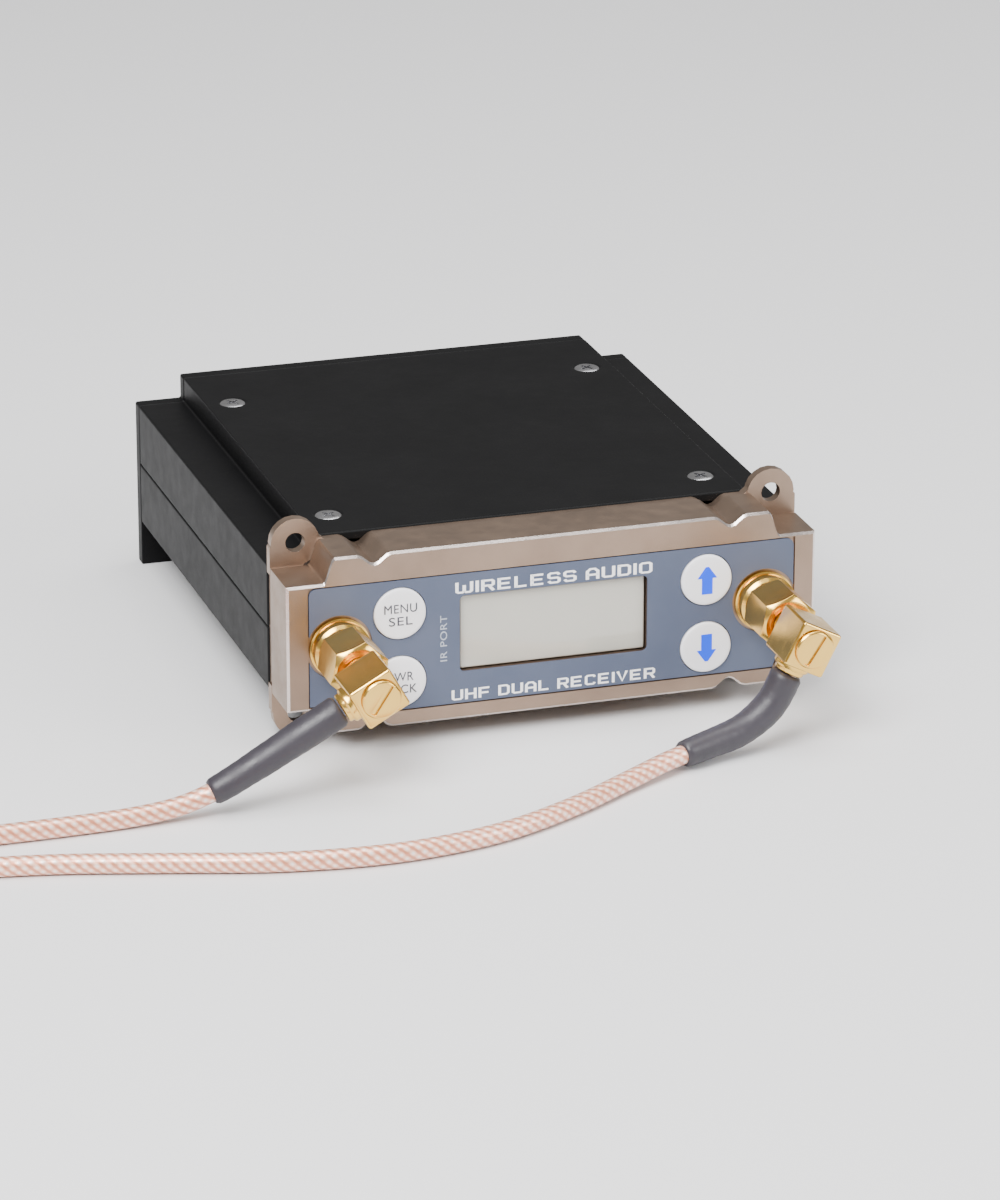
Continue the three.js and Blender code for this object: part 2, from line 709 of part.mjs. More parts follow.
function addLead(lead) {
  const turn = Math.PI / 2 - THREE.MathUtils.degToRad(lead.droop);
  const place = (geometry) => geometry.rotateY(turn).translate(lead.x, 0, zJack);
  const yTip = yFront - jackReach - endGap;
  const yBlock = yFront - blockStart;
  const plug = join(
    bar(0, 0, neckRadius, yBlock - 0.5, yTip - 0.5, 16),
    bar(0, 0, jackRadius - 0.1, yTip - ringThickness, yTip, 16),
    bar(0, 0, noseRadius, yTip - 0.5, yTip + jackBoreDepth - 1, smallRound),
    block(
      0, (blockSide / 2 - blockHeel) / 2, blockSide, blockSide / 2 + blockHeel, yBlock - blockLength, yBlock,
    ),
    post(0, yCable, collarRadius, -blockHeel - collarLength / 2, -blockHeel + 0.5, 16),
    post(0, yCable, collarRadius - 0.4, -blockHeel - collarLength, -blockHeel, 16),
  );
  addMesh("plug_body_" + lead.name, place(plug), "gold");
  const yCap = yBlock - blockLength - seat;
  const cap = cut(
    bar(0, 0, capRadius, yCap - capThickness, yCap),
    block(0, 0, capSlot, 2 * capRadius + 1, yCap - capThickness - 1, yCap - capThickness / 2),
  );
  addMesh("plug_cap_" + lead.name, place(cap), "gold");
  const yNut = yFront - nutStart;
  addMesh("coupling_nut_" + lead.name,
    captiveNut(yNut - nutLength, yNut, jackRadius + fit).translate(lead.x, 0, zJack), "gold");

  const curve = leadCurve(lead);
  const sleeve = stretch(curve, 0, sleeveLength, sleeveSteps);
  addMesh("heat_shrink_" + lead.name, tubeAlong(sleeve, sleeveRadius, sleeveSteps, 10), "sleeve");
  const [from, to] = [sleeveLength + endGap, curve.getLength() - tangentRun(coaxRadius)];
  const steps = Math.round((to - from) / leadStep);
  addMesh("coax_lead_" + lead.name, tubeAlong(stretch(curve, from, to, steps), coaxRadius, steps), "coax");
  addCoil(lead);
}

// How far from the point where it meets the coil a straight piece of this radius stays clear of the coil.
function tangentRun(radius) {
  return Math.sqrt((coilRadius + coaxRadius) ** 2 - (coilRadius - radius) ** 2) + endGap;
}

// The coil's outer shape, and the straight plug that leaves it.
function addCoil(lead) {
  const { x, y, turns, way, farTilt } = lead.coil;
  const height = 2 * coaxRadius * (turns + 1);
  const ring = [
    [coilRadius - coaxRadius, 0],
    [coilRadius + coaxRadius, 0],
    [coilRadius + coaxRadius, height],
    [coilRadius - coaxRadius, height],
    [coilRadius - coaxRadius, 0],
  ].map(([r, z]) => new THREE.Vector2(r, z));
  const coil = new THREE.LatheGeometry(ring, 32).rotateX(Math.PI / 2).translate(x, y, 2 * seat);
  addMesh("coax_coil_" + lead.name, coil, "coax");

  const zExit = coaxRadius + seat + 2 * coaxRadius * turns;
  const away = -way;
  const tilt = away * -THREE.MathUtils.degToRad(farTilt);
  const place = (geometry) =>
    geometry.rotateX(tilt).translate(x - coilRadius, y + away * tangentRun(farSleeveRadius), zExit);
  const along = (radius, from, to, sides = 16) =>
    bar(0, 0, radius, Math.min(away * from, away * to), Math.max(away * from, away * to), sides);
  addMesh("far_shrink_" + lead.name, place(along(farSleeveRadius, 0, farSleeveLength, 10)), "sleeve");
  const bodyStart = farSleeveLength + endGap;
  const lipEnd = farNutStart + nutLip;
  const plug = join(
    along(2.7, bodyStart, bodyStart + 2.4),
    along(3.2, bodyStart + 2, farNutStart - endGap),
    along(neckRadius, farNutStart - 0.6, lipEnd + 1),
    along(jackRadius - 0.1, lipEnd + endGap, lipEnd + endGap + ringThickness),
    along(noseRadius, lipEnd + 1, lipEnd + endGap + ringThickness + 1, smallRound),
  );
  addMesh("far_plug_" + lead.name, place(plug), "gold");
  addMesh("far_nut_" + lead.name,
    place(captiveNut(away * farNutStart, away * (farNutStart + farNutLength), jackRadius + fit)), "gold");
}

addBezel();
addFlange();
addLabel();
addDisplay();
addKeys();
addKeypadBoard();
addCasing();
addScrews();
addRear();
addMainBoard();
addRibbon();
addJacks();
leads.forEach(addLead);

export default receiver;
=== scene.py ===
import json
import math

import bmesh
import bpy
from mathutils import Matrix, Vector


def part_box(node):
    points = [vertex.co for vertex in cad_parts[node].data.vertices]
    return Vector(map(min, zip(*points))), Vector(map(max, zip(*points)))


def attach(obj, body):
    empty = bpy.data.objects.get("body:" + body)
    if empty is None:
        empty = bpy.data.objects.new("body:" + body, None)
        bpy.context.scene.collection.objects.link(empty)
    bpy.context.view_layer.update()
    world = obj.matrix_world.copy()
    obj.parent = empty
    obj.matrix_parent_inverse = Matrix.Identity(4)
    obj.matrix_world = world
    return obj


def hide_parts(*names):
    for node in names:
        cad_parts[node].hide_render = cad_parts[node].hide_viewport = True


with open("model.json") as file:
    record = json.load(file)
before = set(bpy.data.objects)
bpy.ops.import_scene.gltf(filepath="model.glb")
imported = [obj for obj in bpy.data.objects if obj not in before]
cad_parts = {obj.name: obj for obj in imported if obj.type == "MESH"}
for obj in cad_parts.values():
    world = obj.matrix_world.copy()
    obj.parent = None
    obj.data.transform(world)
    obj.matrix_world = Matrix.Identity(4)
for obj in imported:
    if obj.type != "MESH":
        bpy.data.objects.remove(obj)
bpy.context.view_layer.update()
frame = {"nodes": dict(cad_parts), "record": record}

scene = bpy.context.scene
mm = 0.001
sides = ("left", "right")

bezelLow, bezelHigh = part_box("front_bezel")
yFront = bezelLow.y
zMid = (bezelLow.z + bezelHigh.z) / 2
labelLow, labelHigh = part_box("label_overlay")
jackX = {side: sum(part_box("jack_nut_" + side)[i].x for i in (0, 1)) / 2 for side in sides}
jackZ = sum(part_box("jack_nut_left")[i].z for i in (0, 1)) / 2


def linked(name, data):
    obj = bpy.data.objects.new(name, data)
    scene.collection.objects.link(obj)
    return obj


def shaderOf(material):
    return material.node_tree.nodes["Principled BSDF"]


def plain(name, color, roughness, metallic=0.0, **extra):
    material = bpy.data.materials.new(name)
    material.use_nodes = True
    shader = shaderOf(material)
    shader.inputs["Base Color"].default_value = (*color, 1)
    shader.inputs["Roughness"].default_value = roughness
    shader.inputs["Metallic"].default_value = metallic
    for key, value in extra.items():
        shader.inputs[key.replace("_", " ")].default_value = value
    return material


cameraSet = {"azimuth": -17.5, "elevation": 20.5, "distance": 0.87, "aim": (-0.004, -0.03, 0.016),
             "viewWidth": 0.150, "sensor": 36}


def direction(azimuth, elevation):
    a, e = math.radians(azimuth), math.radians(elevation)
    return Vector((math.sin(a) * math.cos(e), -math.cos(a) * math.cos(e), math.sin(e)))


def makeCamera():
    s = cameraSet
    data = bpy.data.cameras.new("camera")
    data.sensor_fit = "HORIZONTAL"
    data.sensor_width = s["sensor"]
    data.lens = s["sensor"] * s["distance"] / s["viewWidth"]
    camera = linked("camera", data)
    away = direction(s["azimuth"], s["elevation"])
    camera.location = Vector(s["aim"]) + s["distance"] * away
    camera.rotation_euler = away.to_track_quat("Z", "Y").to_euler()
    scene.camera = camera


lightSet = [
    # name, azimuth, elevation, distance, size, watts
    ("keyLight", -40, 46, 0.9, 0.45, 15.0),
    ("fillLight", 50, 26, 1.0, 0.5, 6.0),
    ("topLight", 0, 84, 0.9, 0.5, 6.0),
    ("backLight", 110, 58, 1.0, 0.5, 2.5),
]
worldSet = {"color": (0.89, 0.875, 0.855, 1), "strength": 0.38}


def makeLights():
    for name, azimuth, elevation, distance, size, watts in lightSet:
        data = bpy.data.lights.new(name, "AREA")
        data.size = size
        data.energy = watts
        light = linked(name, data)
        away = direction(azimuth, elevation)
        light.location = away * distance
        light.rotation_euler = away.to_track_quat("Z", "Y").to_euler()
    world = bpy.data.worlds.new("studio")
    world.use_nodes = True
    background = world.node_tree.nodes["Background"]
    background.inputs["Color"].default_value = worldSet["color"]
    background.inputs["Strength"].default_value = worldSet["strength"]
    scene.world = world


floorSet = {"size": 3, "color": (0.74, 0.74, 0.75), "roughness": 0.7}


def makeFloor():
    s = floorSet
    bm = bmesh.new()
    bmesh.ops.create_grid(bm, x_segments=1, y_segments=1, size=s["size"])
    mesh = bpy.data.meshes.new("floor")
    bm.to_mesh(mesh)
    bm.free()
    floor = linked("floor", mesh)
    mesh.materials.append(plain("paleFloor", s["color"], s["roughness"]))


makeCamera()
makeLights()
makeFloor()
print("stage ready")


def node(material, kind, **inputs):
    made = material.node_tree.nodes.new(kind)
    for key, value in inputs.items():
        made.inputs[key.replace("_", " ")].default_value = value
    return made


def link(material, output, target):
    material.node_tree.links.new(output, target)


def noise(material, scale, detail):
    coords = node(material, "ShaderNodeTexCoord")
    texture = node(material, "ShaderNodeTexNoise", Scale=scale, Detail=detail)
    link(material, coords.outputs["Object"], texture.inputs["Vector"])
    return texture.outputs["Fac"]


def ranged(material, source, low, high, fromLow=0.3, fromHigh=0.7):
    spread = node(material, "ShaderNodeMapRange",
                  From_Min=fromLow, From_Max=fromHigh, To_Min=low, To_Max=high)
    link(material, source, spread.inputs["Value"])
    return spread.outputs["Result"]


mixSockets = {"first": 6, "second": 7, "result": 2}  # a mix node's colour sockets


def tint(material, source, first, second):
    mix = node(material, "ShaderNodeMix")
    mix.data_type = "RGBA"
    for key, color in (("first", first), ("second", second)):
        socket = mix.inputs[mixSockets[key]]
        if isinstance(color, tuple):
            socket.default_value = (*color, 1)
        else:
            link(material, color, socket)
    result = mix.outputs[mixSockets["result"]]
    link(material, source, mix.inputs["Factor"])
    link(material, result, shaderOf(material).inputs["Base Color"])
    return result


def bump(material, source, strength, distance):
    made = node(material, "ShaderNodeBump", Strength=strength, Distance=distance)
    link(material, source, made.inputs["Height"])
    link(material, made.outputs["Normal"], shaderOf(material).inputs["Normal"])


textureSet = {"cloud": (90, 4), "patches": (400, 5), "grainDetail": 2, "bump": 0.5}


# colour drifts in clouds, roughness in smaller patches, and a fine grain gives the bump
def textured(name, first, second, roughness, metallic, grain, depth, extra):
    s = textureSet
    material = plain(name, first, sum(roughness) / 2, metallic, **extra)
    tint(material, ranged(material, noise(material, *s["cloud"]), 0, 1), first, second)
    patches = ranged(material, noise(material, *s["patches"]), *roughness)
    link(material, patches, shaderOf(material).inputs["Roughness"])
    bump(material, noise(material, grain, s["grainDetail"]), s["bump"], depth)
    return material


finishSet = [
    # slot, name, two colours,
    #     least and most roughness, metallic, grain, depth of the grain, other sockets
    ("nickel", "nickel", (0.355, 0.258, 0.196), (0.285, 0.207, 0.156),
     (0.30, 0.42), 0.92, 5200, 4e-5, {}),
    # the lighter nickel is a painted highlight, laid on chamfers and bevels where the edges catch the light
    ("bright_edge", "brightEdge", (0.80, 0.72, 0.68), (0.66, 0.58, 0.54),
     (0.20, 0.30), 0.95, 5200, 1e-5, {}),
    ("black_anodised", "blackAnodised", (0.0034, 0.0034, 0.0038), (0.0046, 0.0046, 0.005),
     (0.46, 0.52), 0.0, 4200, 3e-5, {"Specular_IOR_Level": 0.12}),
    ("label", "labelFilm", (0.088, 0.107, 0.162), (0.072, 0.089, 0.142),
     (0.40, 0.50), 0.0, 7000, 1.5e-5, {"Specular_IOR_Level": 0.35}),
    ("display_glass", "displayFace", (0.47, 0.455, 0.40), (0.44, 0.43, 0.38),
     (0.10, 0.14), 0.0, 900, 0, {"Coat_Weight": 1.0, "Coat_Roughness": 0.03}),
    ("white_key", "whiteKey", (0.90, 0.90, 0.93), (0.85, 0.85, 0.89),
     (0.30, 0.40), 0.0, 6000, 1e-5, {}),
    ("dark_plastic", "darkPlastic", (0.016, 0.016, 0.018), (0.024, 0.024, 0.026),
     (0.4, 0.55), 0.0, 4000, 2e-5, {}),
    ("circuit_board", "circuitBoard", (0.01, 0.10, 0.035), (0.016, 0.14, 0.05),
     (0.25, 0.4), 0.0, 1500, 2e-5, {}),
    ("steel", "zincSteel", (0.55, 0.55, 0.56), (0.46, 0.46, 0.48),
     (0.22, 0.36), 1.0, 5000, 2e-5, {}),
    ("tinplate", "tinplate", (0.62, 0.61, 0.58), (0.54, 0.53, 0.50),
     (0.24, 0.38), 1.0, 3500, 2e-5, {}),
    ("ribbon", "ribbonFilm", (0.45, 0.20, 0.04), (0.52, 0.26, 0.06),
     (0.2, 0.3), 0.0, 2000, 1e-5, {}),
    ("gold", "goldPlate", (0.95, 0.61, 0.155), (0.84, 0.50, 0.11),
     (0.17, 0.27), 1.0, 4800, 5e-6, {}),
    ("heat_shrink", "heatShrink", (0.027, 0.0235, 0.030), (0.038, 0.034, 0.043),
     (0.38, 0.52), 0.0, 2600, 6e-5, {}),
    ("pigtail", "pigtailJacket", (0.22, 0.10, 0.035), (0.28, 0.13, 0.05),
     (0.2, 0.3), 0.0, 3000, 1e-5, {}),
]
braidSet = {
    "pitch": 0.0017, "strands": 6, "crossing": 0.6,
    "base": (0.62, 0.23, 0.13), "light": (0.96, 0.58, 0.43), "glint": (0.95, 0.90, 0.87),
    "glintMost": 0.8, "lightFrom": (0.05, 0.45), "glintFrom": (0.55, 0.95),
    "roughness": 0.34, "metallic": 0.35, "bump": (0.35, 1.2e-4),
}


# two sets of strands wind opposite ways under a clear jacket
def makeBraid():
    s = braidSet
    material = plain("braidedCoax", s["light"], s["roughness"], s["metallic"],
                     Coat_Weight=1.0, Coat_Roughness=0.12, Coat_IOR=1.45)
    place = node(material, "ShaderNodeUVMap")
    split = node(material, "ShaderNodeSeparateXYZ")
    link(material, place.outputs["UV"], split.inputs["Vector"])

    def maths(operation, *values):
        made = node(material, "ShaderNodeMath")
        made.operation = operation
        for i, value in enumerate(values):
            if isinstance(value, (int, float)):
                made.inputs[i].default_value = value
            else:
                link(material, value, made.inputs[i])
        return made.outputs["Value"]

    around = maths("MULTIPLY", split.outputs["X"], s["strands"])
    along = maths("DIVIDE", split.outputs["Y"], s["pitch"])

    def strands(way):
        turn = maths("ADD" if way > 0 else "SUBTRACT", along, around)
        wave = maths("SINE", maths("MULTIPLY", turn, 2 * math.pi))
        return maths("ADD", maths("MULTIPLY", wave, 0.5), 0.5)

    crossed = maths("ADD", maths("MULTIPLY", strands(-1), s["crossing"]), 1 - s["crossing"])
    over = maths("MULTIPLY", strands(1), crossed)
    body = tint(material, ranged(material, over, 0, 1, *s["lightFrom"]), s["base"], s["light"])
    tint(material, ranged(material, over, 0, s["glintMost"], *s["glintFrom"]), body, s["glint"])
    bump(material, over, *s["bump"])
    return material


finishes = {slot: textured(*row) for slot, *row in finishSet}
finishes["coax"] = makeBraid()
ink = {
    "white": plain("whiteInk", (0.95, 0.95, 0.97), 0.4),
    "grey": plain("greyInk", (0.045, 0.045, 0.06), 0.5),
    "blue": plain("blueInk", (0.0, 0.075, 1.0), 0.6, Specular_IOR_Level=0.2),
    "pale": plain("paleInk", (0.40, 0.44, 0.52), 0.5),
}
inkSet = {"patches": (900, 3), "roughness": (0.34, 0.48)}
for made in ink.values():
    patches = ranged(made, noise(made, *inkSet["patches"]), *inkSet["roughness"])
    link(made, patches, shaderOf(made).inputs["Roughness"])
print("materials ready")

smoothAngle = 38
bevelAngle = 40


def onBody(obj, body, stands=()):
    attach(obj, body)
    if stands:
        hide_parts(*stands)


def shade(obj, smooth=smoothAngle):
    obj.data.polygons.foreach_set("use_smooth", [True] * len(obj.data.polygons))
    obj.data.set_sharp_from_angle(angle=math.radians(smooth))


def objectOf(name, bm, material, smooth=smoothAngle):
    mesh = bpy.data.meshes.new(name)
    bmesh.ops.recalc_face_normals(bm, faces=bm.faces)
    bm.to_mesh(mesh)
    bm.free()
    mesh.materials.append(material)
    obj = linked(name, mesh)
    shade(obj, smooth)
    return obj


def evaluated(obj):
    bpy.context.view_layer.update()
    return bpy.data.meshes.new_from_object(obj.evaluated_get(bpy.context.evaluated_depsgraph_get()))


def applied(obj):
    mesh = evaluated(obj)
    obj.modifiers.clear()
    obj.data = mesh


def carve(obj, tools, operation="DIFFERENCE"):
    for tool in tools:
        modifier = obj.modifiers.new("carve", "BOOLEAN")
        modifier.operation = operation
        modifier.solver = "EXACT"
        modifier.object = tool
    applied(obj)
    shade(obj)
    for tool in tools:
        bpy.data.objects.remove(tool)


# weighted normals keep broad flat faces flat in the light
def flattened(obj, smooth=smoothAngle):
    shade(obj, smooth)
    modifier = obj.modifiers.new("flat", "WEIGHTED_NORMAL")
    modifier.keep_sharp = True
    applied(obj)
    return obj


def rounded(obj, width, segments=2, angle=bevelAngle, paintedEdgeHighlight=None, clamp=True):
    modifier = obj.modifiers.new("edge", "BEVEL")
    modifier.width = width
    modifier.segments = segments
    modifier.limit_method = "ANGLE"
    modifier.angle_limit = math.radians(angle)
    modifier.use_clamp_overlap = clamp
    # the bevel faces can take a second material that paints a highlight on the edges
    if paintedEdgeHighlight:
        obj.data.materials.append(paintedEdgeHighlight)
        modifier.material = 1
    applied(obj)
    return flattened(obj)


def toolOf(bm):
    return objectOf("tool", bm, ink["grey"])


def moved(obj, place):
    obj.data.transform(place)
    return obj


def scaled(profile):
    return [(first * mm, second * mm) for first, second in profile]


def middleOf(name):
    low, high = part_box(name)
    return (low.x + high.x) / 2, (low.z + high.z) / 2


# a round or many-sided bar along Y
def barAlong(x, z, radius, y0, y1, segments=64):
    bm = bmesh.new()
    place = Matrix.Translation((x, (y0 + y1) / 2, z)) @ Matrix.Rotation(math.radians(90), 4, "X")
    bmesh.ops.create_cone(bm, cap_ends=True, cap_tris=False, segments=segments, radius1=radius,
                          radius2=radius, depth=abs(y1 - y0), matrix=place)
    return bm


def boxAt(center, size):
    bm = bmesh.new()
    bmesh.ops.create_cube(bm, size=1, matrix=Matrix.Translation(center) @ Matrix.Diagonal((*size, 1)))
    return bm


def bevelEdges(bm, edges, offset, segments):
    bmesh.ops.bevel(bm, geom=edges, offset=offset, offset_type="OFFSET", segments=segments, profile=0.5,
                    affect="EDGES", material=-1)


# turns a profile of (radius, y) about the line along Y through x and z
def lathe(profile, x=0.0, z=0.0, steps=64):
    bm = bmesh.new()
    points = [bm.verts.new((x + radius, y, z)) for radius, y in profile]
    edges = [bm.edges.new(pair) for pair in zip(points, points[1:])]
    bmesh.ops.spin(bm, geom=points + edges, cent=(x, 0, z), axis=(0, 1, 0), angle=2 * math.pi,
                   steps=steps, use_merge=True)
    bmesh.ops.remove_doubles(bm, verts=bm.verts, dist=1e-7)
    return bm


# an outline of (x, z) drawn out along Y
def slabFrom(outline, y0, y1):
    bm = bmesh.new()
    face = bm.faces.new([bm.verts.new((x, y0, z)) for x, z in outline])
    grown = bmesh.ops.extrude_face_region(bm, geom=[face])["geom"]
    verts = [v for v in grown if isinstance(v, bmesh.types.BMVert)]
    bmesh.ops.translate(bm, vec=(0, y1 - y0, 0), verts=verts)
    return bm


copySet = {"weld": 1e-6, "flatAngle": 0.6}


def cadCopy(nodeName, slot):
    bm = bmesh.new()
    bm.from_mesh(frame["nodes"][nodeName].data)
    bmesh.ops.remove_doubles(bm, verts=bm.verts, dist=copySet["weld"])
    bmesh.ops.dissolve_limit(bm, angle_limit=math.radians(copySet["flatAngle"]),
                             verts=bm.verts, edges=bm.edges)
    return objectOf(nodeName + "_fine", bm, finishes[slot])


casingSet = {"edge": 0.35 * mm, "segments": 3, "shellEdge": 0.25 * mm}


def makeCasing():
    s = casingSet
    for name in ("chassis_tray", "top_cover", "rear_plate"):
        shell = rounded(cadCopy(name, "black_anodised"), s["edge"], s["segments"], clamp=False)
        onBody(shell, "receiver", [name])
    shell = rounded(cadCopy("rear_connector_shell", "tinplate"), s["shellEdge"])
    onBody(shell, "receiver", ["rear_connector_shell"])
    print("casing made")


bezelSet = {"chamfer": 0.36 * mm, "backEdge": 0.3 * mm, "shoulder": 9.3 * mm, "sideBand": 0.1 * mm,
            "smooth": 25}


# a cut all round near one face, with the face's outer rim then drawn in, leaves an even chamfer, whose walls
# take the second material, a painted highlight
def chamferRim(bm, y, width):
    s = bezelSet
    inward = math.copysign(1, (bezelLow.y + bezelHigh.y) / 2 - y)
    bmesh.ops.bisect_plane(bm, geom=bm.verts[:] + bm.edges[:] + bm.faces[:], dist=1e-7,
                           plane_co=(0, y + inward * width, 0), plane_no=(0, 1, 0))
    rim = set()
    for edge in bm.edges:
        walls = [f for f in edge.link_faces if abs(f.normal.y) < 0.5]
        if any(abs(v.co.y - y) > 1e-6 for v in edge.verts) or len(walls) != 1:
            continue
        middle = (edge.verts[0].co + edge.verts[1].co) / 2
        rise = middle.z - zMid
        sideOut = abs(middle.x) > bezelHigh.x - s["sideBand"]
        if sideOut or (abs(rise) > s["shoulder"] and walls[0].normal.z * rise > 0):
            walls[0].material_index = 1
            rim.update(edge.verts)
    for v in rim:
        if abs(v.co.z - zMid) > s["shoulder"]:
            v.co.z -= math.copysign(width, v.co.z - zMid)
        if abs(v.co.x) > bezelHigh.x - s["sideBand"]:
            v.co.x -= math.copysign(width, v.co.x)


def makeBezel():
    s = bezelSet
    bezel = cadCopy("front_bezel", "nickel")
    bm = bmesh.new()
    bm.from_mesh(bezel.data)
    chamferRim(bm, bezelLow.y, s["chamfer"])
    chamferRim(bm, bezelHigh.y, s["backEdge"])
    bm.to_mesh(bezel.data)
    bm.free()
    # the second material paints a highlight on the chamfer walls
    bezel.data.materials.append(finishes["bright_edge"])
    onBody(flattened(bezel, s["smooth"]), "receiver", ["front_bezel"])
    print("bezel made")


flangeSet = {"edge": 0.2 * mm, "angle": 50}


def makeFlange():
    # the flange's bevels take the painted highlight
    plate = rounded(cadCopy("ear_flange", "nickel"), flangeSet["edge"], angle=flangeSet["angle"],
                    paintedEdgeHighlight=finishes["bright_edge"])
    onBody(plate, "receiver", ["ear_flange"])
    print("ear flange made")


labelSet = {
    "corner": 1.2 * mm, "cornerSteps": 6, "hole": 5.0 * mm, "keyHole": 4.1 * mm, "inkDepth": 0.04 * mm,
    "windowGap": 0.2 * mm, "windowDepth": 8 * mm, "windowCorner": 0.8 * mm, "windowSteps": 5,
    # the cut-back corner, as distances in from the bezel's side and up from its lower edge
    "notch": [(-1, -1), (7.4, -1), (7.4, 0.6), (7.04, 0.97), (6.68, 1.95), (6.32, 3.15), (5.96, 4.13),
              (5.6, 4.5), (-1, 4.5)],
}
wordSet = [
    # name, words, middle x, drop from the label's middle, width, height, ink, turned
    ("words_top", "WIRELESS AUDIO", 0.0, -7.9, 30.6, 1.85, "white", 0),
    ("words_bottom", "UHF DUAL RECEIVER", 0.0, 8.9, 31.8, 1.75, "white", 0),
    ("words_side", "IR PORT", -17.1, -0.3, 7.2, 1.05, "pale", 90),
]
# wide square letters: each stroke is a run of x,y points on a grid 4 wide and 6 tall
letterSet = {
    "A": "0,-.6 0,4.6 1.1,6 2.9,6 4,4.6 4,-.6 | 0,2.3 4,2.3",
    "C": "4,4.9 3.3,6 .7,6 0,5.3 0,.7 .7,0 3.3,0 4,1.1",
    "D": "-.6,6 3.1,6 4,5.1 4,.9 3.1,0 -.6,0 | 0,0 0,6",
    "E": "0,-.6 0,6.6 | 0,6 4.3,6 | 0,3 3.9,3 | 0,0 4.3,0",
    "F": "0,-.6 0,6.6 | 0,6 4.3,6 | 0,2.8 3.9,2.8",
    "H": "0,-.6 0,6.6 | 4,-.6 4,6.6 | 0,3 4,3",
    "I": "0,-.6 0,6.6",
    "L": "0,-.6 0,6.6 | 0,0 4,0",
    "O": "2,6 .7,6 0,5.3 0,.7 .7,0 3.3,0 4,.7 4,5.3 3.3,6 2,6",
    "R": "0,-.6 0,6.6 | 0,6 3.4,6 4,5.4 4,3.3 3.4,2.7 0,2.7 | 2.3,2.7 4.1,-.6",
    "S": "4,4.9 3.3,6 .7,6 0,5.3 0,3.7 .7,3 3.3,3 4,2.3 4,.7 3.3,0 .7,0 0,1.1",
    "U": "0,6.6 0,.7 .7,0 3.3,0 4,.7 4,6.6",
    "V": "-.1,6.6 2,-.2 4.1,6.6",
    "W": "0,6.6 0,.7 .7,0 2.1,0 2.8,.7 3.5,0 4.9,0 5.6,.7 5.6,6.6 | 2.8,.5 2.8,4.6",
}
letterSizes = {"stroke": 1.3, "gap": 2.15, "space": 2.6}
typeSet = {"depth": 0.5, "spacing": 1.08, "weld": 1e-5, "smooth": 20}


def strokeText(words):
    s = letterSizes
    curve = bpy.data.curves.new("strokes", "CURVE")
    curve.dimensions = "3D"
    curve.bevel_depth = s["stroke"] / 2
    curve.bevel_resolution = 1
    curve.use_fill_caps = True
    start = 0.0
    for letter in words:
        if letter == " ":
            start += s["space"]
            continue
        strokes = [[tuple(map(float, point.split(","))) for point in run.split()]
                   for run in letterSet[letter].split("|")]
        for run in strokes:
            spline = curve.splines.new("POLY")
            spline.use_cyclic_u = run[0] == run[-1]
            run = run[:-1] if spline.use_cyclic_u else run
            spline.points.add(len(run) - 1)
            for point, (x, y) in zip(spline.points, run):
                point.co = (start + x, y, 0, 1)
        start += max(x for run in strokes for x, _ in run) + s["gap"]
    return curve


def fontText(words):
    curve = bpy.data.curves.new("type", "FONT")
    curve.body = words
    curve.extrude = typeSet["depth"]
    curve.space_character = typeSet["spacing"]
    return curve


# fits the words to a width, a height and a depth, standing on a face that looks along -Y
def makeWords(name, curve, center, width, height, yBack, depth, material, turned=0.0):
    text = linked(name + "_type", curve)
    mesh = evaluated(text)
    bpy.data.objects.remove(text)
    bm = bmesh.new()
    bm.from_mesh(mesh)
    bmesh.ops.remove_doubles(bm, verts=bm.verts, dist=typeSet["weld"])
    low = Vector([min(v.co[i] for v in bm.verts) for i in range(3)])
    high = Vector([max(v.co[i] for v in bm.verts) for i in range(3)])
    fit = Matrix.Diagonal((width / (high.x - low.x), height / (high.y - low.y), depth / (high.z - low.z), 1))
    place = (Matrix.Translation((center[0], yBack - depth / 2, center[1]))
             @ Matrix.Rotation(math.radians(-turned), 4, "Y") @ Matrix.Rotation(math.radians(90), 4, "X")
             @ fit @ Matrix.Translation(-(low + high) / 2))
    bmesh.ops.transform(bm, matrix=place, verts=bm.verts)
    return objectOf(name, bm, material, typeSet["smooth"])


keyNames = ("key_menu", "key_back", "key_up", "key_down")


